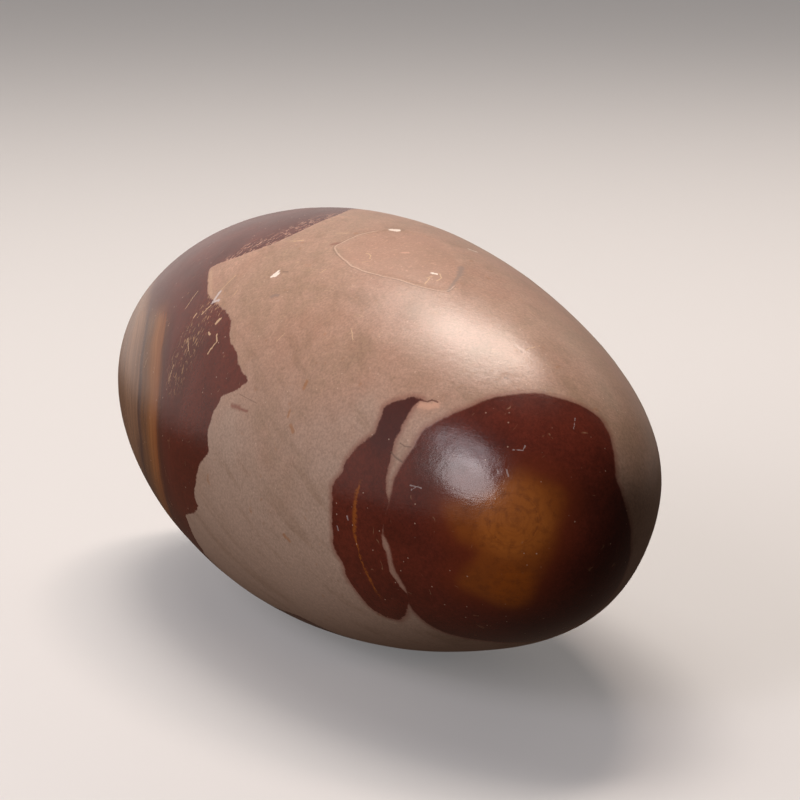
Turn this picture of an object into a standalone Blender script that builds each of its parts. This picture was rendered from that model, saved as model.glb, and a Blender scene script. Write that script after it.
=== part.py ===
import bpy
import bmesh
from math import cos, exp, radians, sin, sqrt
from mathutils import Vector

# A polished river pebble: one solid stone, lying on a small worn flat.
# Metres, +Z up. The long axis is X, with the slimmer end toward +X.
# The origin is the middle of the stone's box, on the surface that it rests on.

# Driving dimensions
LENGTH = 0.196
THICKNESS = 0.0895
FOOT_DEPTH = 0.0005

# How much stouter than an even egg the stone is toward -X, as a share of its radius
FAR_END_FULLNESS = 0.05

# Gentle swells and flats that tumbling left on the egg. Each is centred on a direction from
# the stone's middle: its share of the way along +X, and its roll round the long axis in
# degrees, where 0 is +Y and 90 is up. The last value is its rise, as a share of the radius.
SWELLS = (
    (0.84, -25, -0.021),
    (0.80, -68, 0.015),
    (0.78, 11, 0.016),
    (0.52, -95, -0.017),
    (0.42, 50, -0.016),
    (0.25, -20, 0.012),
    (0.10, -120, 0.007),
    (-0.08, 76, 0.004),
    (-0.30, 20, -0.015),
    (-0.62, 122, -0.004),
    (-0.67, 165, 0.014),
    (-0.75, -20, 0.010),
)
SWELL_SHARPNESS = 10.0

# A shallow flake scar, like a leaf, on top of the stone
SCAR_MIDDLE_X = 0.027
SCAR_MIDDLE_Y = -0.0065
SCAR_LENGTH = 0.046
SCAR_WIDTH = 0.023
SCAR_DEPTH = 0.0005
SCAR_TURN = 12.0

SPHERE_SUBDIVISIONS = 5
MERGE_DISTANCE = 0.0001
SHARP_ANGLE = 12.0

STONE_COLOUR = (0.43, 0.26, 0.19, 1.0)
STONE_ROUGHNESS = 0.25


def direction_of(along, roll):
    # The unit direction at a share of the way along X and a roll round it
    across = sqrt(1.0 - along * along)
    angle = radians(roll)
    return Vector((along, across * cos(angle), across * sin(angle)))


SWELL_CENTRES = [(direction_of(along, roll), rise) for along, roll, rise in SWELLS]


def swell_at(direction):
    # How far the stone stands out from the plain egg in this direction, as a share
    return sum(
        rise * exp(SWELL_SHARPNESS * (direction.dot(centre) - 1.0))
        for centre, rise in SWELL_CENTRES
    )


def scar_depth_at(point):
    # A smooth oval bowl, seen from above
    turn = radians(SCAR_TURN)
    right = point.x - SCAR_MIDDLE_X
    back = point.y - SCAR_MIDDLE_Y
    lengthwise = (right * cos(turn) + back * sin(turn)) / (SCAR_LENGTH / 2)
    crosswise = (back * cos(turn) - right * sin(turn)) / (SCAR_WIDTH / 2)
    outward = lengthwise * lengthwise + crosswise * crosswise
    if point.z < 0.0 or outward > 1.0:
        return 0.0
    return SCAR_DEPTH * (1.0 - outward) * (1.0 - outward)


def surface_point(direction):
    # The stone's surface in a direction from its middle: an egg, its swells and its scar
    taper = 1.0 - FAR_END_FULLNESS * direction.x
    egg = Vector((
        direction.x * LENGTH / 2,
        direction.y * taper * THICKNESS / 2,
        direction.z * taper * THICKNESS / 2,
    ))
    point = egg * (1.0 + swell_at(direction))
    return point - direction * scar_depth_at(point)


def wear_foot(form):
    # Cut the flat that the stone lies on, and close it with one face
    foot = min(vertex.co.z for vertex in form.verts) + FOOT_DEPTH
    everything = form.verts[:] + form.edges[:] + form.faces[:]
    bmesh.ops.bisect_plane(
        form,
        geom=everything,
        dist=MERGE_DISTANCE,
        plane_co=(0.0, 0.0, foot),
        plane_no=(0.0, 0.0, -1.0),
        clear_outer=True,
    )
    rim = [edge for edge in form.edges if edge.is_boundary]
    for edge in rim:
        for vertex in edge.verts:
            vertex.co.z = foot
    bmesh.ops.holes_fill(form, edges=rim, sides=0)
    bmesh.ops.recalc_face_normals(form, faces=form.faces)


def stand_on_origin(form):
    # Bring the middle of the box's underside to the origin
    places = [vertex.co for vertex in form.verts]
    lowest = Vector([min(place[axis] for place in places) for axis in range(3)])
    highest = Vector([max(place[axis] for place in places) for axis in range(3)])
    middle = (lowest + highest) / 2
    shift = Vector((-middle.x, -middle.y, -lowest.z))
    bmesh.ops.translate(form, verts=form.verts, vec=shift)


def stone_material():
    material = bpy.data.materials.new("polished stone")
    material.use_nodes = True
    shader = material.node_tree.nodes["Principled BSDF"]
    shader.inputs["Base Color"].default_value = STONE_COLOUR
    shader.inputs["Roughness"].default_value = STONE_ROUGHNESS
    shader.inputs["Metallic"].default_value = 0.0
    material.diffuse_color = STONE_COLOUR
    return material


def make_pebble(collection):
    bpy.ops.mesh.primitive_ico_sphere_add(subdivisions=SPHERE_SUBDIVISIONS, radius=1.0)
    pebble = bpy.context.object
    pebble.name = "pebble"
    pebble.data.name = "pebble"
    form = bmesh.new()
    form.from_mesh(pebble.data)
    for vertex in form.verts:
        vertex.co = surface_point(vertex.co.normalized())
    wear_foot(form)
    stand_on_origin(form)
    form.to_mesh(pebble.data)
    form.free()
    pebble.data.shade_smooth()
    pebble.data.set_sharp_from_angle(angle=radians(SHARP_ANGLE))
    pebble.data.materials.append(stone_material())
    for holder in pebble.users_collection:
        holder.objects.unlink(pebble)
    collection.objects.link(pebble)
    return pebble


def main():
    for item in list(bpy.data.objects):
        bpy.data.objects.remove(item, do_unlink=True)
    collection = bpy.data.collections.new("river pebble")
    bpy.context.scene.collection.children.link(collection)
    make_pebble(collection)


main()
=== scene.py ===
from math import cos, e, pi, radians, sin, tan

import bpy
import numpy as np
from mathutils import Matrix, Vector, kdtree
from mathutils import noise as ripple
from mathutils.bvhtree import BVHTree


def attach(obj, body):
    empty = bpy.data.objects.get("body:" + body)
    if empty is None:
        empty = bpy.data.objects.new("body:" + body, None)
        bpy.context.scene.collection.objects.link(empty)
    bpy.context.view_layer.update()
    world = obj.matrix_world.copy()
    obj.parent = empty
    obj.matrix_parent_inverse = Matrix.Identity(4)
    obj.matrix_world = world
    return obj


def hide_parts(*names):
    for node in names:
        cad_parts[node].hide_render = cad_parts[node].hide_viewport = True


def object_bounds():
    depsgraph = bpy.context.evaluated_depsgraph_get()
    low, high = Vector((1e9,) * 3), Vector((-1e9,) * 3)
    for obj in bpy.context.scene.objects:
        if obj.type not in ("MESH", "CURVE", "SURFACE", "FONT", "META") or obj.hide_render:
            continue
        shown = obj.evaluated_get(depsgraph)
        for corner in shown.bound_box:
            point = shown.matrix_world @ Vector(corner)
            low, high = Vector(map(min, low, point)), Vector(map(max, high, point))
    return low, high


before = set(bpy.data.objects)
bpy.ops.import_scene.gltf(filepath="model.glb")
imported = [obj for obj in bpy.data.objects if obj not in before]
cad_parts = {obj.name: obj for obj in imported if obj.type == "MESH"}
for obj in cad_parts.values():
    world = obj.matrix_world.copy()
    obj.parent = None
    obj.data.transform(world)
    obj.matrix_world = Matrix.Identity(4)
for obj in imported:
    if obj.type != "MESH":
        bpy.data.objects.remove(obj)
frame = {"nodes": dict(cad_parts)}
cadLow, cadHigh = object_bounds()
print("frame loaded:", ", ".join(frame["nodes"]))

# the stone's form, in metres, the same egg and swells as the solid
stone = {
    "length": 0.196,
    "thickness": 0.0895,
    "farEndFullness": 0.05,
    "footDepth": 0.0005,
    "gridLevels": 7,          # the skin's grid doubles this many times
    "tipAngle": 7.0,          # degrees of grid moved from the tips to the sides
    "swellSharpness": 10.0,
    "swells": [               # share along +X, roll in degrees (90 is up), rise
        (0.84, -25, -0.021), (0.80, -68, 0.015), (0.78, 11, 0.016),
        (0.52, -95, -0.017), (0.42, 50, -0.016), (0.25, -20, 0.012),
        (0.10, -120, 0.007), (-0.08, 76, 0.004), (-0.30, 20, -0.015),
        (-0.62, 122, -0.004), (-0.67, 165, 0.014), (-0.75, -20, 0.010),
    ],
}

# the camera stands where the photo was taken
cameraSetup = {
    "azimuth": 65.2,
    "elevation": 13.0,
    "fieldOfView": 16.0,
    "distance": 0.6176,
    "stonePixel": (373.9, 424.5),   # where the stone's middle lands
    "frameWidth": 800,
    "sensorWidth": 36,
    "nearestSeen": 0.01,
}


def unit(rows):
    return rows / np.linalg.norm(rows, axis=-1, keepdims=True)


def directionOf(along, roll):
    # a direction from the stone's middle, by its share along X and its roll
    across = (1 - along * along) ** 0.5
    return np.array([along, across * cos(radians(roll)), across * sin(radians(roll))])


def surfaceAt(ways):
    # the egg with its swells, about the stone's middle
    half = np.array([stone["length"], stone["thickness"], stone["thickness"]]) / 2
    points = ways * half
    points[:, 1:] *= 1 - stone["farEndFullness"] * ways[:, :1]
    rise = np.zeros(len(ways))
    for along, roll, height in stone["swells"]:
        near = ways @ directionOf(along, roll) - 1
        rise += height * np.exp(stone["swellSharpness"] * near)
    return points * (1 + rise[:, None])


def wayTo(points):
    # the direction whose surface point this is, found in a few passes
    half = np.array([stone["length"], stone["thickness"], stone["thickness"]]) / 2
    ways = unit(points / half)
    for _ in range(5):
        flat = points / half
        flat[:, 1:] /= 1 - stone["farEndFullness"] * ways[:, :1]
        ways = unit(flat)
    return ways


# where the camera is, about the stone's middle
azimuth = radians(cameraSetup["azimuth"])
elevation = radians(cameraSetup["elevation"])
cameraBack = Vector((sin(azimuth) * cos(elevation), -cos(azimuth) * cos(elevation), sin(elevation)))
cameraRight = Vector((cos(azimuth), sin(azimuth), 0))
cameraUp = cameraBack.cross(cameraRight)
halfFrame = cameraSetup["frameWidth"] / 2
focalPixels = halfFrame / tan(radians(cameraSetup["fieldOfView"] / 2))


def rayThrough(pixel):
    # from the camera through a pixel of the photo
    sideways = pixel[0] - cameraSetup["stonePixel"][0]
    downward = pixel[1] - cameraSetup["stonePixel"][1]
    ray = -cameraBack * focalPixels + cameraRight * sideways - cameraUp * downward
    return ray.normalized()


def makeGrid():
    # an even grid on a ball, from a cube
    bpy.ops.mesh.primitive_cube_add(size=2)
    cube = bpy.context.object
    finer = cube.modifiers.new("finer", "SUBSURF")
    finer.subdivision_type = "SIMPLE"
    finer.levels = stone["gridLevels"]
    finer.render_levels = stone["gridLevels"]
    graph = bpy.context.evaluated_depsgraph_get()
    mesh = bpy.data.meshes.new_from_object(cube.evaluated_get(graph))
    bpy.data.objects.remove(cube)
    flat = readPoints(mesh)
    ways = unit(np.tan(flat * pi / 4))
    # move the corners away from the tips, so that the long sides get more of the grid
    angle = np.arccos(np.clip(ways[:, 0], -1, 1))
    angle += radians(stone["tipAngle"]) * np.sin(2 * angle)
    across = unit(ways[:, 1:] + 1e-12)
    ways = np.column_stack([np.cos(angle), np.sin(angle)[:, None] * across])
    return mesh, ways


def readPoints(mesh):
    points = np.zeros(len(mesh.vertices) * 3)
    mesh.vertices.foreach_get("co", points)
    return points.reshape(-1, 3)


def writePoints(mesh, points):
    mesh.vertices.foreach_set("co", points.ravel())
    mesh.update()


skinMesh, ways = makeGrid()
bare = surfaceAt(ways)
writePoints(skinMesh, bare)
bareTree = BVHTree.FromPolygons(bare.tolist(), [list(face.vertices) for face in skinMesh.polygons])
print("skin grid:", len(bare), "points")


def cast(pixels):
    # directions to the points that these pixels of the photo show
    found = []
    for pixel in pixels:
        ray = rayThrough(pixel)
        place = bareTree.ray_cast(cameraBack * cameraSetup["distance"], ray)[0]
        if place is None:
            place = bareTree.find_nearest(nearestToRay(ray))[0]
        found.append(place)
    return wayTo(np.array(found))


def nearestToRay(ray):
    # where a ray that misses the stone passes closest to its middle
    start = cameraBack * cameraSetup["distance"]
    return start - ray * start.dot(ray)


# outlines of the markings: pixels of the photo where it shows them, and where it
# doesn't, shares along X and rolls
eyePixels = [
    (434, 424), (441, 420), (450, 415.5), (460, 411), (470, 407), (480, 402.5),
    (490, 399), (500, 396.5), (513, 395), (525, 393.5), (540, 394), (550, 396),
    (560, 398.5), (570, 401.5), (580, 405.5), (590, 411), (600, 419), (605, 426),
    (610, 437), (613, 450), (615, 465), (616, 480), (620, 490), (623, 500),
    (627, 515), (630, 530), (630, 545), (629, 560),
]
eyeHidden = [(0.90, -56), (0.83, -72)]
eyePixelsBelow = [
    (540, 640), (520, 642), (500, 642), (480, 640), (460, 637), (440, 631), (426, 623),
    (418, 616), (411, 608.5), (407, 600), (406, 591), (402, 583), (398, 576), (394, 568),
    (392, 561), (390.5, 553), (388.5, 546), (386, 540), (382.5, 532), (384, 516),
    (389, 501), (391.5, 491), (394, 480), (397, 474), (402, 464.5), (408, 454.5),
    (414.5, 446), (418, 439), (424, 430.5),
]
crescentPixels = [
    (422, 400), (418, 398.5), (412, 397.5), (405, 399), (400, 400), (393, 402),
    (388, 405), (383, 409), (382, 414), (380, 420), (377, 428), (374, 434), (366, 440),
    (358, 446), (352, 453), (346, 462), (341, 474), (333, 483), (332, 490),
    (332, 505), (332, 520), (333, 535), (333, 545), (338, 555), (344, 566),
    (347, 578), (354, 588), (362, 598), (370, 607), (380, 614), (390, 618),
    (398, 620), (404, 616), (407, 608), (408.5, 600), (406.5, 593), (401, 588.5),
    (396.5, 582.5), (392, 576), (389, 570), (387.5, 562), (385.5, 554), (383, 546),
    (381, 538), (382.5, 531), (386, 516), (389.5, 501), (386.5, 496), (386, 480),
    (387.5, 471), (390, 463), (391.5, 453), (392.5, 447), (394.5, 441), (399, 431),
    (402, 425.5), (405, 420), (408, 414.5), (412, 408.5), (416, 404),
]
capPixels = [
    (355, 209), (345, 212), (335, 216), (322, 221), (305, 229), (290, 236),
    (275, 243), (258, 249), (245, 254), (232, 259), (220, 263), (211, 268),
    (209, 275), (208, 285), (208, 293), (212, 299), (219, 305), (226, 311),
    (231, 320), (230, 335), (231, 343), (236, 350), (238, 360), (240, 368),
    (244, 374), (248, 380), (243, 385), (237, 390), (230, 393), (222, 396),
    (219, 403), (214, 411), (211, 420), (208, 432), (208, 442), (209, 451),
    (204, 458), (200, 463), (197, 474), (195, 485), (194, 492), (196, 502),
    (198, 506), (194, 513), (188, 513), (186, 515), (189, 524), (192, 532),
    (197, 541), (203, 550), (207, 556),
]
capHidden = [   # under the stone, and then up its back
    (-0.08, -131), (0.06, -127), (0.21, -127.5), (0.27, -114), (0.33, -100), (0.35, -90),
    (0.29, -82), (0.22, -76), (0.19, -68), (0.06, -62), (0.00, -52), (-0.11, -45),
    (-0.12, -36), (-0.08, -24), (0.00, -17), (0.03, -8), (0.12, -3), (0.15, 5),
    (0.07, 14), (-0.06, 20), (-0.12, 29), (-0.23, 37), (-0.25, 47), (-0.32, 53), (-0.27, 68),
]
ochrePixels = [
    (513, 472), (527, 471), (541, 476), (555, 483), (564, 494), (564, 514),
    (558, 536), (550, 554), (543, 567), (537, 584), (531, 599), (522, 607),
    (509, 609), (494, 605), (478, 597), (462, 589), (456, 580), (464, 571),
    (472, 562), (474, 552), (466, 545), (455, 537), (448, 524), (443, 511),
    (447, 501), (468, 494), (487, 487), (500, 479),
]
scarPixels = [
    (335, 247), (340, 256), (350, 264.5), (361, 270), (380, 275.5), (400, 280),
    (420, 286.5), (441, 291), (452, 289), (460, 280), (464, 268), (452, 248),
    (424, 234), (396, 229.5), (378, 230.5), (360, 234.5), (345, 241),
]
veinPixels = [
    (361, 478), (359, 485), (356, 494), (354.5, 504), (354, 516), (353.5, 528),
    (355, 538), (358, 549), (361, 560), (365, 570), (371, 582), (377, 593),
    (383, 602),
]


farTip = np.array([-1.0, 0, 0])


def hiddenWays(pairs):
    return np.array([directionOf(along, roll) for along, roll in pairs])


def smoothLine(knots, closed, steps=8):
    # a smooth line through directions, as many short runs
    count = len(knots)
    runs = []
    for index in range(count if closed else count - 1):
        around = [index - 1, index, index + 1, index + 2]
        if closed:
            before, start, end, after = knots[[place % count for place in around]]
        else:
            before, start, end, after = knots[np.clip(around, 0, count - 1)]
        for step in range(steps):
            t = step / steps
            runs.append(
                0.5 * (2 * start + (end - before) * t
                       + (2 * before - 5 * start + 4 * end - after) * t ** 2
                       + (3 * start - before - 3 * end + after) * t ** 3)
            )
    if not closed:
        runs.append(knots[-1])
    return unit(np.array(runs))


def distanceTo(line, places, closed):
    # how far each place is from a line of points, in millimetres
    tree = kdtree.KDTree(len(line))
    for index, point in enumerate(line):
        tree.insert(point, index)
    tree.balance()
    nearest = np.array([tree.find(place)[1] for place in places])
    best = np.full(len(places), np.inf)
    for offset in (-1, 0):
        first = nearest + offset
        second = first + 1
        if closed:
            first, second = first % len(line), second % len(line)
        else:
            first, second = np.clip([first, second], 0, len(line) - 1)
        run = line[second] - line[first]
        reach = (run ** 2).sum(1)
        share = ((places - line[first]) * run).sum(1) / np.where(reach > 0, reach, 1)
        foot = line[first] + np.clip(share, 0, 1)[:, None] * run
        best = np.minimum(best, np.linalg.norm(places - foot, axis=1))
    return best * 1000


def chartOf(directions, centre):
    # directions laid flat round a centre, keeping their angle from it
    side = unit(np.cross(centre, [0.3, 0.5, 0.8]))
    upward = np.cross(centre, side)
    angle = np.arccos(np.clip(directions @ centre, -1, 1))
    across = np.column_stack([directions @ side, directions @ upward])
    return unit(across + 1e-12) * angle[:, None]


def insideOf(outline, directions, centre):
    edge = chartOf(outline, centre)
    spots = chartOf(directions, centre)
    inside = np.zeros(len(spots), bool)
    for (x1, y1), (x2, y2) in zip(edge, np.roll(edge, -1, axis=0)):
        if y1 == y2:
            continue
        crossing = (spots[:, 1] > y1) != (spots[:, 1] > y2)
        inside ^= crossing & (spots[:, 0] < x1 + (spots[:, 1] - y1) * (x2 - x1) / (y2 - y1))
    return inside


def addReading(name, values):
    reading = skinMesh.attributes.new(name, "FLOAT", "POINT")
    reading.data.foreach_set("value", values.astype(np.float32))


def patchReading(name, knots, centre=None):
    # signed distance from a marking's edge in millimetres, positive inside it
    outline = smoothLine(knots, closed=True)
    if centre is None:
        centre = unit(knots.mean(axis=0))
    away = distanceTo(surfaceAt(outline), bare, closed=True)
    signed = np.where(insideOf(outline, ways, centre), away, -away)
    addReading(name, signed)
    return signed


eyeKnots = np.vstack([cast(eyePixels), hiddenWays(eyeHidden), cast(eyePixelsBelow)])
capKnots = np.vstack([cast(capPixels), hiddenWays(capHidden)])
patchReading("eyeEdge", eyeKnots)
patchReading("crescentEdge", cast(crescentPixels))
patchReading("capEdge", capKnots, farTip)
patchReading("ochreEdge", cast(ochrePixels))
scarInside = patchReading("scarEdge", cast(scarPixels))


def veinReadings(pixels):
    # millimetres to the left or right of a thin vein, and how far along it from 0 to 1
    line = surfaceAt(smoothLine(cast(pixels), closed=False))
    tree = kdtree.KDTree(len(line))
    for index, point in enumerate(line):
        tree.insert(point, index)
    tree.balance()
    nearest = np.array([tree.find(place)[1] for place in bare])
    along = unit(np.gradient(line, axis=0))[nearest]
    side = np.cross(along, unit(bare))
    addReading("veinGap", ((bare - line[nearest]) * side).sum(1) * 1000)
    ahead = ((bare - line[nearest]) * along).sum(1) * 1000
    run = 1000 * np.linalg.norm(line[1] - line[0])
    addReading("veinReach", (nearest + np.clip(ahead / run, -9, 9)) / (len(line) - 1))


veinReadings(veinPixels)
print("markings laid on the skin")

# real relief on the skin, in millimetres
relief = {
    "rippleSize": 17.0,
    "rippleHeight": 0.10,
    "fineRippleSize": 6.0,
    "fineRippleHeight": 0.03,
    "scarDepth": 0.15,
    "scarStart": -0.2,      # the floor falls from here to the rim's width inside the scar's edge
    "scarRim": 1.6,
    "pits": [   # pixel, width, depth
        ((521, 352), 1.4, 0.07), ((506, 378), 1.4, 0.08), ((275, 275), 2.2, 0.12),
        ((395, 230), 1.8, 0.1), ((434, 274), 2.0, 0.06), ((460, 472), 1.8, 0.06),
        ((478, 452), 1.6, 0.05), ((497, 471), 1.6, 0.06), ((445, 440), 1.8, 0.05),
    ],
}


def smoothStep(values, low, high):
    share = np.clip((values - low) / (high - low), 0, 1)
    return share * share * (3 - 2 * share)


def rippleAt(size):
    # soft random waves of about this size in millimetres, from -1 to 1
    scaled = bare * 1000 / size
    return np.array([ripple.noise(point) for point in scaled])


def reliefHeights():
    heights = relief["rippleHeight"] * rippleAt(relief["rippleSize"])
    heights += relief["fineRippleHeight"] * rippleAt(relief["fineRippleSize"])
    heights -= relief["scarDepth"] * smoothStep(scarInside, relief["scarStart"], relief["scarRim"])
    pitWays = cast([pixel for pixel, width, depth in relief["pits"]])
    for place, (pixel, width, depth) in zip(surfaceAt(pitWays), relief["pits"]):
        away = np.linalg.norm(bare - place, axis=1) * 1000
        heights -= depth * np.exp(-(away / (width / 2)) ** 2)
    return heights


def shapeSkin():
    normals = np.zeros(len(bare) * 3)
    skinMesh.vertices.foreach_get("normal", normals)
    shaped = bare + normals.reshape(-1, 3) * reliefHeights()[:, None] / 1000
    foot = shaped[:, 2].min() + stone["footDepth"]
    shaped[:, 2] = np.maximum(shaped[:, 2], foot)
    # stand it where the solid stands
    middle = (shaped.min(axis=0) + shaped.max(axis=0)) / 2
    target = (cadLow + cadHigh) / 2
    shift = np.array([target.x - middle[0], target.y - middle[1], cadLow.z - foot])
    writePoints(skinMesh, shaped + shift)
    skinMesh.shade_smooth()
    return Vector(shift)


stoneMiddle = shapeSkin()
pebbleSkin = bpy.data.objects.new("pebbleSkin", skinMesh)
bpy.context.scene.collection.objects.link(pebbleSkin)
print("skin shaped, middle at", [round(value, 4) for value in stoneMiddle])


class Wire:
    # a node's output that takes part in sums
    def __init__(self, bench, socket):
        self.bench = bench
        self.socket = socket

    def maths(self, operation, first, second):
        node = self.bench.add("ShaderNodeMath", {"operation": operation}, {0: first, 1: second})
        return Wire(self.bench, node.outputs[0])

    def __add__(self, other):
        return self.maths("ADD", self, other)

    def __sub__(self, other):
        return self.maths("SUBTRACT", self, other)

    def __mul__(self, other):
        return self.maths("MULTIPLY", self, other)

    def __truediv__(self, other):
        return self.maths("DIVIDE", self, other)

    def __rsub__(self, other):
        return self.maths("SUBTRACT", other, self)

    __radd__ = __add__
    __rmul__ = __mul__


class Bench:
    # the nodes of one material, or of the world
    def __init__(self, owner):
        owner.use_nodes = True
        self.owner = owner
        self.tree = owner.node_tree
        self.shader = self.tree.nodes.get("Principled BSDF")

    def add(self, kind, settings, values):
        node = self.tree.nodes.new(kind)
        for key, value in settings.items():
            if key == "stops":
                self.setStops(node.color_ramp, value)
            else:
                setattr(node, key, value)
        for key, value in values.items():
            self.feed(node.inputs[key], value)
        return node

    def feed(self, socket, value):
        if isinstance(value, Wire):
            self.tree.links.new(value.socket, socket)
        elif isinstance(value, bpy.types.NodeSocket):
            self.tree.links.new(value, socket)
        else:
            socket.default_value = value

    def setStops(self, ramp, stops):
        while len(ramp.elements) < len(stops):
            ramp.elements.new(0.5)
        for element, (place, colour) in zip(ramp.elements, stops):
            element.position = place
            element.color = (*colour, 1)

    def reading(self, name):
        node = self.add("ShaderNodeAttribute", {"attribute_name": name}, {})
        return Wire(self, node.outputs["Fac"])

    def place(self):
        # the point on the stone in millimetres
        coordinate = self.add("ShaderNodeTexCoord", {}, {})
        node = self.add("ShaderNodeMapping", {}, {
            "Vector": coordinate.outputs["Object"],
            "Scale": (1000, 1000, 1000),
        })
        return node.outputs[0]

    def cloud(self, size, detail=2.0, roughness=0.5, at=None):
        # noise with waves of about this size in millimetres, from 0 to 1
        node = self.add("ShaderNodeTexNoise", {}, {
            "Vector": at or self.place(),
            "Scale": 1 / size,
            "Detail": detail,
            "Roughness": roughness,
        })
        return Wire(self, node.outputs["Fac"])

    def ease(self, value, low, high, start=0.0, end=1.0):
        # a smooth climb from start to end as the value goes from low to high
        node = self.add("ShaderNodeMapRange", {"interpolation_type": "SMOOTHSTEP"}, {
            "Value": value, "From Min": low, "From Max": high, "To Min": start, "To Max": end,
        })
        return Wire(self, node.outputs["Result"])

    def blend(self, share, first, second):
        # colours mixed by a share
        node = self.add("ShaderNodeMix", {"data_type": "RGBA"}, {0: share})
        for socket, value in ((node.inputs[6], first), (node.inputs[7], second)):
            self.feed(socket, (*value, 1) if isinstance(value, tuple) else value)
        return node.outputs[2]

    def vector(self, operation, first, second):
        node = self.add("ShaderNodeVectorMath", {"operation": operation}, {0: first, 1: second})
        return node.outputs[0]

    def measure(self, operation, first, second):
        node = self.add("ShaderNodeVectorMath", {"operation": operation}, {0: first, 1: second})
        return Wire(self, node.outputs["Value"])

    def stretch(self, vector, share):
        values = {0: vector, "Scale": share}
        return self.add("ShaderNodeVectorMath", {"operation": "SCALE"}, values).outputs[0]

    def parts(self, vector):
        node = self.add("ShaderNodeSeparateXYZ", {}, {0: vector})
        return [Wire(self, socket) for socket in node.outputs]

    def join(self, first, second=0.0, third=0.0):
        return self.add("ShaderNodeCombineXYZ", {}, {0: first, 1: second, 2: third}).outputs[0]

    def tint(self, size):
        # a random vector that drifts over this many millimetres
        node = self.add("ShaderNodeTexNoise", {}, {"Vector": self.place(), "Scale": 1 / size})
        return node.outputs["Color"]

    def limit(self, value):
        node = self.add("ShaderNodeClamp", {}, {"Value": value})
        return Wire(self, node.outputs[0])

    def size(self, value):
        node = self.add("ShaderNodeMath", {"operation": "ABSOLUTE"}, {0: value})
        return Wire(self, node.outputs[0])

    def larger(self, first, second):
        return first.maths("MAXIMUM", first, second)

    def smaller(self, first, second):
        return first.maths("MINIMUM", first, second)


# where things are on the finished skin, in millimetres
skinTree = BVHTree.FromPolygons(
    readPoints(skinMesh).tolist(), [list(face.vertices) for face in skinMesh.polygons]
)


def spotOn(pixel):
    # the finished skin's point behind a pixel of the photo
    start = stoneMiddle + cameraBack * cameraSetup["distance"]
    return skinTree.ray_cast(start, rayThrough(pixel))[0] * 1000


# small marks by the pixels of the photo that they run through, and their width in millimetres
marks = {
    "whiteChips": [
        ([(272.5, 276), (279, 271)], 0.8), ([(276, 275), (278, 273.5)], 1.2),
        ([(392, 229.7), (398, 230.3)], 1.3), ([(469, 249), (477, 252)], 0.5),
        ([(432, 273), (437, 274)], 0.6),
    ],
    "paleScratches": [
        ([(202, 314), (211, 305)], 0.36), ([(222, 289), (236, 275)], 0.26),
        ([(208, 353), (217, 341), (217, 334)], 0.42), ([(186, 308), (198, 291)], 0.24),
        ([(169, 380), (174, 364)], 0.26), ([(216, 323), (221, 318)], 0.7),
        ([(188, 338), (189, 350)], 0.26), ([(209, 332), (210, 334)], 0.5),
        ([(367, 253), (371, 255), (370, 259)], 0.26), ([(351, 328), (353, 340)], 0.18),
        ([(277, 341), (285, 333)], 0.18), ([(526, 350), (540, 346)], 0.2),
        ([(363, 262), (368, 261)], 0.22), ([(427, 278), (433, 276)], 0.22),
        ([(233, 296), (238, 290)], 0.24), ([(194, 317), (197, 313)], 0.4),
        ([(294, 241), (304, 240)], 0.3), ([(320, 273), (326, 269)], 0.24),
        ([(425, 284), (430, 278)], 0.3), ([(437, 281), (442, 278), (440, 274)], 0.26),
    ],
    "pinkBlooms": [
        ([(421, 405), (428, 406.5), (436, 405)], 1.5), ([(403, 252.5), (408, 252.5)], 0.9),
    ],
    "paleLint": [
        ([(513, 450), (523, 451), (525, 446)], 0.24), ([(410, 485), (421, 488)], 0.24),
        ([(411, 490), (418, 486)], 0.2), ([(507, 470), (508, 476)], 0.3),
        ([(497, 470), (498, 474)], 0.24), ([(575, 419), (574, 429)], 0.18),
        ([(337, 526), (338, 530)], 0.36), ([(347, 516), (348, 520)], 0.32),
    ],
    "whiteTuft": [
        ([(213, 302), (220, 292)], 0.95), ([(214, 301), (219, 300)], 0.75),
    ],
    "darkCracks": [
        ([(391, 452), (395, 457), (402, 462)], 0.36), ([(400, 443), (405, 446.5), (411, 447)], 0.22),
        ([(240, 394), (257, 403)], 0.14), ([(505, 378), (508, 379)], 0.42),
        ([(521, 351), (522, 353)], 0.38), ([(283, 271.5), (288, 271.5)], 0.3),
    ],
    "greyMarks": [
        ([(462, 267), (460, 275)], 1.2), ([(460, 275), (455, 282), (449, 291)], 0.8),
        ([(272, 296), (278, 295)], 0.9),
    ],
    "redMarks": [
        ([(232, 405), (240, 408)], 0.9), ([(239, 408), (247, 411)], 0.5),
        ([(333, 244), (339, 243)], 1.1),
    ],
    "creamMarks": [
        ([(211, 272), (211, 295)], 1.3), ([(338, 233), (347, 233)], 1.0),
    ],
    "thinReds": [
        ([(420, 399.5), (427, 402), (432, 400), (438, 402)], 0.36),
    ],
    "rustMarks": [
        ([(284, 535), (289, 540)], 0.8), ([(291, 426), (293, 431)], 0.9),
        ([(304, 388), (307, 381)], 0.8), ([(288, 416), (290, 410)], 0.6),
    ],
}

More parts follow.
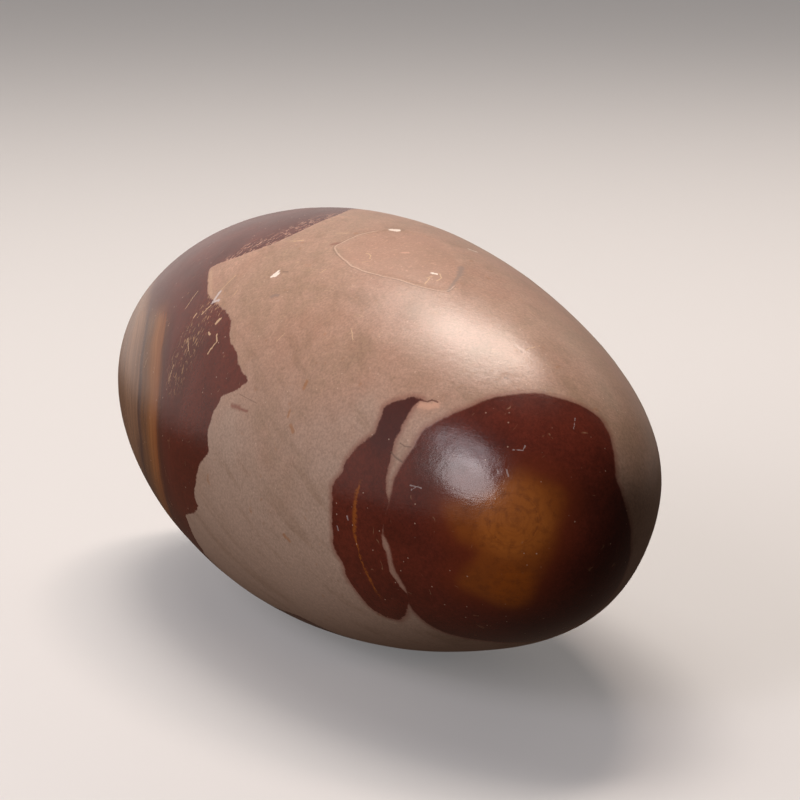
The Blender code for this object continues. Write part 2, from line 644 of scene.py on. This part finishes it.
# how each kind is laid on: colour, strength, softness of its edge, wander, and whether it is shaky
stains = {
    "pinkBlooms": ("bloom", 0.8, 0.7, 1.8, True),
    "creamMarks": ("scratch", 0.25, 0.8, 1.8, True),
    "greyMarks": ("grey", 0.7, 0.7, 1.8, True),
    "redMarks": ("blush", 0.7, 0.9, 1.44, True),
    "thinReds": ("redDark", 0.75, 0.5, 1.8, True),
    "rustMarks": ("rust", 0.6, 0.6, 1.8, True),
    "darkCracks": ("crack", 0.6, 0.5, 0.9, False),
}
nicks = {
    "paleScratches": ("scratch", 0.8, 0.25, 1.8, True),
    "whiteChips": ("white", 0.9, 0.25, 1.8, True),
    "paleLint": ("lint", 0.4, 0.25, 1.8, True),
    "whiteTuft": ("lint", 0.75, 0.25, 1.8, True),
}

# lines through pixels of the photo that a pattern or a scraped place follows
lines = {
    "veils": [(262, 495), (305, 545)],
    "brushing": [(420, 330), (520, 350)],
    "crescentHorn": [(412, 400), (387, 428)],
    "hairScratches": [(208, 353), (240, 300)],
    "scrapedPlace": [(178, 368), (212, 308)],
    "scrapedGrain": [(208, 353), (222, 318)],
    "rubbedEdge": [(236, 260), (328, 218)],
    "rubbedGrain": [(240, 255), (330, 214)],
    "scarNearEdge": [(366, 233), (336, 247), (375, 275), (446, 291)],
}

# colours of the stone, linear
colours = {
    "tanPink": (0.42, 0.238, 0.165),
    "tanGreen": (0.375, 0.238, 0.162),
    "tanLight": (0.455, 0.277, 0.198),
    # painted light: the greyer, lighter tone painted on the stone's lower part
    "tanPaintedFill": (0.45, 0.33, 0.255),
    "rust": (0.33, 0.135, 0.04),
    "red": (0.118, 0.020, 0.0105),
    "redDark": (0.086, 0.014, 0.0075),
    "purple": (0.055, 0.013, 0.011),
    "blush": (0.21, 0.062, 0.038),
    "glow": (0.17, 0.03, 0.008),
    "ochre": (0.37, 0.112, 0.018),
    "ochreDeep": (0.24, 0.062, 0.010),
    "ochreLow": (0.30, 0.075, 0.008),
    "ochreDark": (0.13, 0.032, 0.008),
    "orange": (0.30, 0.085, 0.012),
    "bloom": (0.64, 0.37, 0.26),
    "olive": (0.23, 0.14, 0.08),
    "grey": (0.23, 0.165, 0.135),
    "white": (0.92, 0.82, 0.72),
    "rubbed": (0.60, 0.35, 0.25),
    "scratch": (0.64, 0.44, 0.27),
    # the crack colour is also the painted shade below the scar's near edge, and the pale one is also
    # its painted highlight
    "crack": (0.12, 0.07, 0.045),
    "paleDustAndHighlight": (0.78, 0.58, 0.44),
    "gold": (0.52, 0.32, 0.17),
    "lint": (0.62, 0.56, 0.55),
}


def gapToRun(bench, at, start, run):
    # distance from a short straight run
    fromStart = bench.vector("SUBTRACT", at, start)
    share = bench.measure("DOT_PRODUCT", fromStart, run / run.length_squared)
    return bench.measure("DISTANCE", fromStart, bench.stretch(run, bench.limit(share)))


def gapToLine(bench, at, pixels):
    # distance from a line of runs through pixels of the photo
    spots = [spotOn(pixel) for pixel in pixels]
    nearest = None
    for start, end in zip(spots, spots[1:]):
        gap = gapToRun(bench, at, start, end - start)
        nearest = gap if nearest is None else bench.smaller(nearest, gap)
    return nearest


def grainAlong(bench, name, squeeze):
    # the stone's points in millimetres, squeezed along one of the named lines
    start, end = [spotOn(pixel) for pixel in lines[name]]
    along = (end - start).normalized()
    outward = (start - stoneMiddle * 1000).normalized()
    across = along.cross(outward).normalized()
    at = bench.place()
    return bench.join(
        bench.measure("DOT_PRODUCT", at, along * squeeze),
        bench.measure("DOT_PRODUCT", at, across),
        bench.measure("DOT_PRODUCT", at, along.cross(across) * 0.5),
    )


def hairs(bench, at, size, thinness, few):
    # broken hairlines, where slow waves cross their middle height
    waves = bench.cloud(size, 1.0, 0.5, at=at)
    breaks = bench.cloud(size * 0.4, 1.0, 0.5, at=at)
    line = bench.ease(bench.size(waves - 0.5), thinness, 0.0)
    return line * bench.ease(breaks, few, few + 0.08)


def specks(bench, at, spacing, radius, few):
    # small dots, or short dashes where the points are squeezed, in some cells of this size
    cells = bench.add("ShaderNodeTexVoronoi", {}, {"Vector": at, "Scale": 1 / spacing})
    chance = bench.parts(cells.outputs["Color"])
    gap = Wire(bench, cells.outputs["Distance"]) * spacing
    dots = bench.ease(gap, radius, radius * 0.5) * bench.ease(chance[0], few, few + 0.02)
    return dots, chance[1]


# the pale stone's patterns, their sizes and heights in millimetres
ground = {
    "broadSize": 24,
    "middlingSize": 4.5,
    "veilSize": 4.0,
    "spotSize": 2.4,
    "paintedFillTop": 72,         # painted light: the lower part of the stone is painted greyer and lighter
    "paintedFillFull": 36,
    "greyWobble": 60,
    "wornSize": 0.9,       # the top is worn into fine pale streaks
    "wornFoot": 60,
    "wornFull": 84,
}


def tanGround(bench, grain):
    # clouds of pink and green, a lower part painted greyer and lighter as painted light, faint diagonal
    # veils and small soft spots
    broad = bench.cloud(ground["broadSize"], 3.0, 0.6)
    middling = bench.cloud(ground["middlingSize"], 4.0, 0.65)
    veils = bench.cloud(ground["veilSize"], 3.0, 0.6, at=grainAlong(bench, "veils", 0.14))
    spots = bench.cloud(ground["spotSize"], 2.0, 0.5)
    colour = bench.blend(bench.ease(broad, 0.38, 0.62), colours["tanPink"], colours["tanGreen"])
    colour = bench.blend(bench.ease(middling, 0.38, 0.64, 0.0, 0.75), colour, colours["tanLight"])
    height = bench.parts(bench.place())[2] + (broad - 0.5) * ground["greyWobble"]
    # painted light: below this height the stone is painted greyer and lighter
    paintedFill = bench.ease(height, ground["paintedFillTop"], ground["paintedFillFull"], 0.0, 0.9)
    colour = bench.blend(paintedFill, colour, colours["tanPaintedFill"])
    colour = bench.blend(bench.ease(veils, 0.5, 0.72, 0.0, 0.38), colour, colours["olive"])
    colour = bench.blend(bench.ease(spots, 0.68, 0.8, 0.0, 0.3), colour, colours["olive"])
    colour = bench.blend(bench.ease(spots, 0.32, 0.22, 0.0, 0.4), colour, colours["rust"])
    worn = bench.cloud(ground["wornSize"], 3.0, 0.75, at=grainAlong(bench, "brushing", 0.25))
    onTop = bench.ease(height, ground["wornFoot"], ground["wornFull"])
    colour = bench.blend(bench.ease(worn, 0.56, 0.76, 0.0, 0.4) * onTop, colour, colours["scratch"])
    return bench.stretch(colour, bench.ease(grain, 0.28, 0.72, 0.78, 1.10))


# the scar, in millimetres
scar = {
    "floorFade": 2.0,
    "floorPinkness": 0.5,
    "crumbSize": 1.1,
    "lineWander": 0.7,
    "nearEdge": (3.6, 2.2),     # past the first distance the lines are gone, within the second whole
    # painted light: the pale line is a painted highlight on the step of the near edge, and the dark
    # line a painted shade below it
    "paintedHighlightLine": (-0.12, 0.26, 0.06, 0.0, 0.42),     # place, outer and inner width, strengths
    "paintedShadeLine": (0.2, 0.22, 0.05, 0.0, 0.36),
}


def scarFloor(bench, colour):
    # the scar's floor is a little pinker, and crumbly
    inside = bench.ease(bench.reading("scarEdge"), 0.0, scar["floorFade"])
    crumbs = bench.cloud(scar["crumbSize"], 4.0, 0.8)
    colour = bench.blend(inside * scar["floorPinkness"], colour, colours["tanPink"])
    return bench.blend(inside * bench.ease(crumbs, 0.52, 0.72, 0.0, 0.5), colour, colours["bloom"])


def scarEdgeLitAndShaded(bench, colour):
    # along the scar's near edge, a thin painted highlight where its step catches the light, and a
    # thinner painted shade below it
    edge = bench.reading("scarEdge") + (bench.cloud(3.0, 2.0, 0.6) - 0.5) * scar["lineWander"]
    near = bench.ease(gapToLine(bench, bench.place(), lines["scarNearEdge"]), *scar["nearEdge"])
    near = near * bench.ease(bench.cloud(2.0, 2.0, 0.6), 0.3, 0.5, 0.4, 1.0)
    for name, tone in (("paintedShadeLine", "crack"), ("paintedHighlightLine", "paleDustAndHighlight")):
        place, *widths = scar[name]
        line = bench.ease(bench.size(edge + place), *widths) * near
        colour = bench.blend(line, colour, colours[tone])
    return colour


# the red rock, in millimetres
redRock = {
    "cloudSize": 14,
    "fleckSize": 1.4,
    "hornShade": (6.0, 3.2, 0.0, 0.6),      # distances from its line, strengths
}


def redBody(bench, grain):
    # the dark patches, softly clouded and flecked
    deep = bench.cloud(redRock["cloudSize"], 3.0, 0.6)
    flecks = bench.cloud(redRock["fleckSize"], 4.0, 0.75)
    colour = bench.blend(bench.ease(deep, 0.36, 0.66), colours["red"], colours["redDark"])
    colour = bench.stretch(colour, bench.ease(flecks, 0.3, 0.7, 0.86, 1.14))
    return bench.stretch(colour, bench.ease(grain, 0.28, 0.72, 0.84, 1.14))


def crescentBody(bench, colour):
    # the crescent's upper horn is nearly black
    horn = gapToLine(bench, bench.place(), lines["crescentHorn"])
    return bench.blend(bench.ease(horn, *redRock["hornShade"]), colour, colours["purple"])


# the vein in the crescent, in millimetres
vein = {
    "thinnest": 0.16,
    "widest": 0.5,
    "broadPlace": 0.34,     # the share of its length where it is broadest
    "broader": 0.2,
    "widthSize": 2.6,
    "crumbSize": 0.7,
    "crumbReach": 0.9,
    "strength": 0.8,
}


def veinMask(bench, ragged):
    # crumbly, of uneven width, and fading at both ends
    crumbs = bench.cloud(vein["crumbSize"], 3.0, 0.75)
    wander = ragged * 0.6 + (crumbs - 0.5) * vein["crumbReach"]
    gap = bench.size(bench.reading("veinGap") + wander)
    reach = bench.reading("veinReach")
    waves = bench.cloud(vein["widthSize"], 3.0, 0.7)
    width = bench.ease(waves, 0.3, 0.7, vein["thinnest"], vein["widest"])
    width = width + bench.ease(bench.size(reach - vein["broadPlace"]), 0.26, 0.04, 0.0, vein["broader"])
    inside = bench.ease(gap, width, width * 0.2) * bench.ease(crumbs, 0.36, 0.52, 0.3, 1.0)
    return inside * (bench.ease(reach, 0.0, 0.1) * bench.ease(reach, 1.0, 0.86))


# the near end's eye, in millimetres
eyeLooks = {
    "ringMiddle": (513, 521),   # the pixel at the middle of its rings
    "lowerLobe": (515, 590),    # and at the middle of the ochre zone's lower lobe
    "warpSize": 7,
    "warpReach": 2.6,
    "deepening": (4.5, 9.5),    # the ochre is deeper from here outward
    "lobeReach": (7.0, 3.0),
    "bandSize": 0.9,
    "fleckSize": 1.6,
    "zoneWander": 2.2,
    "glowReach": 6.5,
    "glowStrength": 0.6,
    "zoneFade": (-1.7, 2.2),
    "thinRings": [(2.6, 0.12), (4.7, 0.28)],   # radius and strength
}


def eyeBody(bench, colour):
    # a glow, then a zone of ochre with thin rings in it
    middle, lobe = spotOn(eyeLooks["ringMiddle"]), spotOn(eyeLooks["lowerLobe"])
    warp = bench.cloud(eyeLooks["warpSize"], 3.0, 0.6) - 0.5
    ring = bench.measure("DISTANCE", bench.place(), middle) + warp * eyeLooks["warpReach"]
    fromLobe = bench.measure("DISTANCE", bench.place(), lobe) + warp * eyeLooks["warpReach"]
    bands = bench.cloud(eyeLooks["bandSize"], 3.0, 0.6, at=bench.join(ring))
    flecks = bench.cloud(eyeLooks["fleckSize"], 3.0, 0.65)
    zone = bench.reading("ochreEdge") + warp * eyeLooks["zoneWander"] + (flecks - 0.5) * 0.7
    deepened = bench.ease(ring, *eyeLooks["deepening"])
    warm = bench.blend(deepened, colours["ochre"], colours["ochreDeep"])
    warm = bench.blend(bench.ease(fromLobe, *eyeLooks["lobeReach"]), warm, colours["ochreLow"])
    warm = bench.blend(bench.ease(bands, 0.45, 0.7, 0.0, 0.45), warm, colours["ochreDeep"])
    warm = bench.blend(bench.ease(flecks, 0.42, 0.72, 0.0, 0.42), warm, colours["ochreDark"])
    for radius, strength in eyeLooks["thinRings"]:
        line = bench.ease(bench.size(ring - radius), 0.2, 0.05, 0.0, strength)
        warm = bench.blend(line * bench.ease(flecks, 0.44, 0.58), warm, colours["redDark"])
    glow = bench.ease(zone, -eyeLooks["glowReach"], 0.5, 0.0, eyeLooks["glowStrength"])
    colour = bench.blend(glow, colour, colours["glow"])
    return bench.blend(bench.ease(zone, *eyeLooks["zoneFade"]), colour, warm)


# the far end's layers lie where x + tilt * y is the same, in millimetres
layers = {
    "tilt": 1.66,
    "start": -125,         # the stops run from here over this span
    "span": 50,
    "lastLayer": -80,
    "top": 71,             # their height on the stone, and where they are whole
    "whole": 63,
    "topWander": 8,
    "waveSize": 14,
    "waveReach": 4,
    "streakSize": 1.3,
    "streakSqueeze": 0.07,
    "streakReach": 3.5,
    "stops": [
        (0.00, (0.36, 0.20, 0.12)), (0.22, (0.27, 0.15, 0.085)), (0.30, (0.33, 0.185, 0.105)),
        (0.44, (0.24, 0.13, 0.075)), (0.49, (0.105, 0.058, 0.045)), (0.52, (0.18, 0.088, 0.044)),
        (0.58, (0.20, 0.092, 0.042)), (0.64, (0.30, 0.122, 0.04)), (0.715, (0.25, 0.085, 0.025)),
        (0.765, (0.09, 0.024, 0.015)), (0.83, (0.105, 0.02, 0.012)),
    ],
}


def capBody(bench, colour):
    # red, then a band of ochre, a dark line and tan, all finely streaked
    split = bench.parts(bench.place())
    wave = bench.cloud(layers["waveSize"], 2.0) - 0.5
    origin = 1000 * (stoneMiddle.x + layers["tilt"] * stoneMiddle.y)
    layer = split[0] + split[1] * layers["tilt"] - origin + wave * layers["waveReach"]
    squeeze = layers["streakSqueeze"]
    drawn = bench.join(layer, split[2] * squeeze, split[1] * squeeze)
    streaks = bench.cloud(layers["streakSize"], 3.0, 0.6, at=drawn)
    moved = layer + (streaks - 0.5) * layers["streakReach"]
    ramp = bench.add("ShaderNodeValToRGB", {"stops": layers["stops"]}, {
        "Fac": (moved - layers["start"]) / layers["span"],
    })
    layered = bench.stretch(ramp.outputs["Color"], bench.ease(streaks, 0.3, 0.7, 1.14, 0.84))
    reach = bench.ease(moved, layers["lastLayer"], layers["lastLayer"] - 3)
    low = bench.ease(split[2] + wave * layers["topWander"], layers["top"], layers["whole"])
    return bench.blend(reach * low, colour, layered)


# the edges of the dark patches, in millimetres
edges = {
    "softness": 0.24,
    "eyeSoftness": 0.34,
    "raggedness": 1.4,
    "raggedSize": 1.9,
    "bleedReach": 1.7,      # the red bleeds a little into the pale stone round the near patches
    "bleedStrength": 0.66,
}


def edgeMask(bench, name, ragged, softness):
    # 1 inside a marking, with a crisp, slightly ragged edge
    return bench.ease(bench.reading(name) + ragged, -softness, softness)


def stoneColour(bench, grain):
    # the pale ground, the three dark patches on it, and how dark the stone is
    ragged = (bench.cloud(edges["raggedSize"], 4.0, 0.7) - 0.5) * edges["raggedness"]
    eye = edgeMask(bench, "eyeEdge", ragged * 0.5, edges["eyeSoftness"])
    crescent = edgeMask(bench, "crescentEdge", ragged, edges["softness"])
    cap = edgeMask(bench, "capEdge", ragged, edges["softness"])
    body = redBody(bench, grain)
    colour = scarFloor(bench, tanGround(bench, grain))
    nearest = bench.larger(bench.reading("eyeEdge"), bench.reading("crescentEdge"))
    bleed = bench.ease(nearest + ragged, -edges["bleedReach"], 0.2, 0.0, edges["bleedStrength"])
    colour = bench.blend(bleed, colour, colours["blush"])
    colour = bench.blend(cap, colour, capBody(bench, body))
    colour = bench.blend(crescent, colour, crescentBody(bench, body))
    colour = bench.blend(eye, colour, eyeBody(bench, body))
    veined = veinMask(bench, ragged) * crescent * vein["strength"]
    colour = bench.blend(veined, colour, colours["orange"])
    return colour, bench.larger(bench.larger(eye, crescent), cap)


# how the edges of the small marks shake, in millimetres
shake = {
    "size": 0.9,
    "reach": 0.5,
    "trembleSize": 0.6,
}


def markMasks(bench):
    # 1 on the small marks of each kind, with wandering and mostly shaky edges
    reach = shake["reach"]
    jitter = bench.vector("MULTIPLY", bench.tint(shake["size"]), (reach, reach, reach))
    centred = bench.vector("SUBTRACT", jitter, (reach / 2, reach / 2, reach / 2))
    shaky = bench.vector("ADD", bench.place(), centred)
    tremble = bench.cloud(shake["trembleSize"], 2.0, 0.7) - 0.5
    masks = {}
    for name, look in {**stains, **nicks}.items():
        softness, wander, isShaky = look[2:]
        at = shaky if isShaky else bench.place()
        nearest = None
        for pixels, width in marks[name]:
            gap = gapToLine(bench, at, pixels) / (width / 2)
            nearest = gap if nearest is None else bench.smaller(nearest, gap)
        masks[name] = bench.ease(nearest + tremble * wander, 1 + softness, 1 - softness)
    return masks


def layMarks(bench, colour, masks, kinds):
    for name, look in kinds.items():
        tone, strength = look[:2]
        colour = bench.blend(masks[name] * strength, colour, colours[tone])
    return colour


# fine wear, in millimetres
scuffs = {
    "sparseHairs": (3.4, 0.014, 0.64),      # size of the pattern, thinness, how few
    "denseHairs": (1.3, 0.05, 0.48),
    "rubbedHairs": (1.1, 0.07, 0.46),
    "scrapedDots": (1.1, 0.27, 0.4),        # spacing, radius, how few
    "rubbedDots": (1.0, 0.27, 0.5),
    "dust": (1.3, 0.2, 0.72),
    "sparseStrength": 0.35,
    "denseStrength": 0.8,
    "scrapedReach": (7.5, 3.0),             # gone past the first distance, whole within the second
    "rubbedReach": (6.5, 3.5),
    "rubbedInCap": (8.0, 4.0),
    "dustStrength": 0.45,
    "spotStrength": 0.55,
    "scrapedStrength": 0.7,
    "rubbedStrength": 0.7,
}


def wear(bench):
    # hair scratches, sparse all over and dense in two scraped places
    at = bench.place()
    sparse = hairs(bench, grainAlong(bench, "hairScratches", 0.5), *scuffs["sparseHairs"])
    sparse = sparse * scuffs["sparseStrength"]
    cluster = bench.ease(gapToLine(bench, at, lines["scrapedPlace"]), *scuffs["scrapedReach"])
    steep = grainAlong(bench, "scrapedGrain", 0.4)
    dense = hairs(bench, steep, *scuffs["denseHairs"]) * scuffs["denseStrength"]
    dense = bench.larger(dense, specks(bench, steep, *scuffs["scrapedDots"])[0]) * cluster
    strip = bench.ease(gapToLine(bench, at, lines["rubbedEdge"]), *scuffs["rubbedReach"])
    strip = strip * bench.ease(bench.reading("capEdge"), *scuffs["rubbedInCap"])
    level = grainAlong(bench, "rubbedGrain", 0.4)
    rubbed = hairs(bench, level, *scuffs["rubbedHairs"])
    rubbed = bench.larger(rubbed, specks(bench, level, *scuffs["rubbedDots"])[0]) * strip
    return bench.larger(sparse, dense), rubbed


def layWear(bench, colour, dark, scuffed, rubbed):
    # pale dust, olive spots on the pale stone, and the scratches
    dots, which = specks(bench, bench.place(), *scuffs["dust"])
    dust = dots * bench.ease(which, 0.62, 0.5)
    spots = dots * bench.ease(which, 0.62, 0.7) * (1 - dark)
    colour = bench.blend(dust * scuffs["dustStrength"], colour, colours["paleDustAndHighlight"])
    colour = bench.blend(spots * scuffs["spotStrength"], colour, colours["olive"])
    colour = bench.blend(scuffed * scuffs["scrapedStrength"], colour, colours["gold"])
    return bench.blend(rubbed * scuffs["rubbedStrength"], colour, colours["rubbed"])


# the polish is uneven, duller on the pale stone, and dimpled by fine scuffs
polish = {
    "roughness": 0.27,
    "smearSize": 9,
    "smear": 0.12,
    "darkIsSmoother": 0.12,
    "scratchIsRougher": 0.3,
    "scuffIsRougher": 0.25,
    "ior": 1.5,
    "grainSize": 0.55,          # millimetres, as are the next five
    "grainHeight": 0.016,
    "brushedSize": 0.5,
    "brushedHeight": 0.02,
    "dimpleSize": 1.5,
    "dimpleHeight": 0.045,
    "darkIsFlatter": 0.3,
}


def stoneFinish():
    bench = Bench(bpy.data.materials.new("polishedStone"))
    grain = bench.cloud(polish["grainSize"], 3.0, 0.7)
    colour, dark = stoneColour(bench, grain)
    masks = markMasks(bench)
    scuffed, rubbed = wear(bench)
    colour = layMarks(bench, colour, masks, stains)
    colour = scarEdgeLitAndShaded(bench, colour)
    colour = layWear(bench, colour, dark, scuffed, rubbed)
    colour = layMarks(bench, colour, masks, nicks)

    smear = bench.cloud(polish["smearSize"], 3.0, 0.65)
    roughness = polish["roughness"] + smear * polish["smear"] - dark * polish["darkIsSmoother"]
    roughness = roughness + masks["paleScratches"] * polish["scratchIsRougher"]
    roughness = roughness + scuffed * polish["scuffIsRougher"]
    brushed = bench.cloud(polish["brushedSize"], 2.0, 0.7, at=grainAlong(bench, "brushing", 0.22))
    height = grain * polish["grainHeight"] + brushed * polish["brushedHeight"]
    height = height + bench.cloud(polish["dimpleSize"], 3.0, 0.6) * polish["dimpleHeight"]
    height = height * (1 - dark * polish["darkIsFlatter"])
    bump = bench.add("ShaderNodeBump", {}, {"Height": height, "Distance": 0.001, "Strength": 1.0})

    shader = bench.shader
    bench.feed(shader.inputs["Base Color"], colour)
    bench.feed(shader.inputs["Roughness"], roughness)
    bench.feed(shader.inputs["Normal"], bump.outputs[0])
    shader.inputs["IOR"].default_value = polish["ior"]
    return bench.owner


skinMesh.materials.clear()
skinMesh.materials.append(stoneFinish())
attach(pebbleSkin, "root")
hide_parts("pebble")
print("stone finished")

# a wide pale floor in a softly lit room
studio = {
    "floorColour": (0.55, 0.55, 0.55),
    "floorHalfWidth": 3.0,
    "floorGlow": 0.13,
    "floorRoughness": 0.6,
    "roomColour": (0.048, 0.033, 0.026),
    "upperGlowsEnd": (-0.22, -0.09),   # how far up they start, and are whole
    "glows": {       # light from the room: right, away and up, sharpness, colour
        "backGlow": ((-0.30, 0.9, 0.15), 4.0, (0.55, 0.50, 0.48)),
        "leftGlow": ((-0.95, -0.15, 0.2), 4.0, (0.44, 0.42, 0.41)),
        "lowGlow": ((-0.9, 0.2, -0.3), 3.0, (0.10, 0.05, 0.03)),
    },
    "softBoxes": {   # right, away and up from the stone in metres, size, power, colour
        "topBox": ((-0.22, 0.38, 1.03), (0.74, 0.62), 3.6, (1.0, 0.94, 0.88)),
        "keyBox": ((-0.07, 0.385, 1.03), (0.46, 0.46), 5.4, (1.0, 0.88, 0.79)),
        "rightBox": ((0.22, 0.43, 0.99), (0.22, 0.22), 3.4, (1.0, 0.83, 0.73)),
        "farBox": ((0.53, 0.76, 0.59), (0.60, 0.60), 0.65, (1.0, 0.84, 0.72)),
        "sideBox": ((-0.75, -0.73, 0.43), (0.46, 0.58), 4.2, (1.0, 0.93, 0.95)),
        "upperBox": ((-0.60, -0.56, 0.66), (0.46, 0.40), 1.6, (1.0, 0.93, 1.0)),
    },
}


def makeFloor():
    bpy.ops.mesh.primitive_plane_add(size=2 * studio["floorHalfWidth"])
    floor = bpy.context.object
    floor.name = "floor"
    bench = Bench(bpy.data.materials.new("paleFloor"))
    bench.feed(bench.shader.inputs["Base Color"], (*studio["floorColour"], 1))
    bench.shader.inputs["Roughness"].default_value = studio["floorRoughness"]
    bench.shader.inputs["Emission Strength"].default_value = studio["floorGlow"]
    floor.data.materials.append(bench.owner)
    # the world lights the stone from below, so that the pale floor doesn't veil its polish
    floor.visible_glossy = False
    floor.visible_diffuse = False


def makeWorld():
    # a dim room with soft glows, of which the upper ones end a little below level
    bench = Bench(bpy.data.worlds.new("softRoom"))
    bpy.context.scene.world = bench.owner
    look = bench.add("ShaderNodeTexCoord", {}, {}).outputs["Generated"]
    above = bench.ease(bench.parts(look)[2], *studio["upperGlowsEnd"])
    light = studio["roomColour"]
    for place, sharpness, colour in studio["glows"].values():
        closeness = bench.measure("DOT_PRODUCT", look, inRoom(place).normalized())
        share = closeness.maths("POWER", e, (closeness - 1) * sharpness)
        if place[2] > 0:
            share = share * above
        light = bench.vector("ADD", light, bench.stretch(colour, share))
    bench.feed(bench.tree.nodes["Background"].inputs["Color"], light)


def inRoom(place):
    # right, away and up as the camera sees the floor
    away = Vector((-cameraBack.x, -cameraBack.y, 0)).normalized()
    return cameraRight * place[0] + away * place[1] + Vector((0, 0, place[2]))


def makeLight(name, place, size, power, colour):
    # a round soft box that faces the stone
    lamp = bpy.data.lights.new(name, "AREA")
    lamp.shape = "ELLIPSE"
    lamp.size, lamp.size_y = size
    lamp.energy = power
    lamp.color = colour
    holder = bpy.data.objects.new(name, lamp)
    bpy.context.scene.collection.objects.link(holder)
    offset = inRoom(place)
    holder.location = stoneMiddle + offset
    holder.rotation_euler = offset.to_track_quat("Z", "Y").to_euler()


def makeCamera():
    lens = bpy.data.cameras.new("camera")
    lens.sensor_width = cameraSetup["sensorWidth"]
    lens.angle = radians(cameraSetup["fieldOfView"])
    lens.clip_start = cameraSetup["nearestSeen"]
    holder = bpy.data.objects.new("camera", lens)
    bpy.context.scene.collection.objects.link(holder)
    place = stoneMiddle + cameraBack * cameraSetup["distance"]
    aim = rayThrough((halfFrame, halfFrame))
    holder.location = place
    holder.rotation_euler = aim.to_track_quat("-Z", "Y").to_euler()
    bpy.context.scene.camera = holder


makeFloor()
makeWorld()
for name, (place, size, power, colour) in studio["softBoxes"].items():
    makeLight(name, place, size, power, colour)
makeCamera()
bpy.context.scene.view_settings.view_transform = "Standard"
print("studio set")
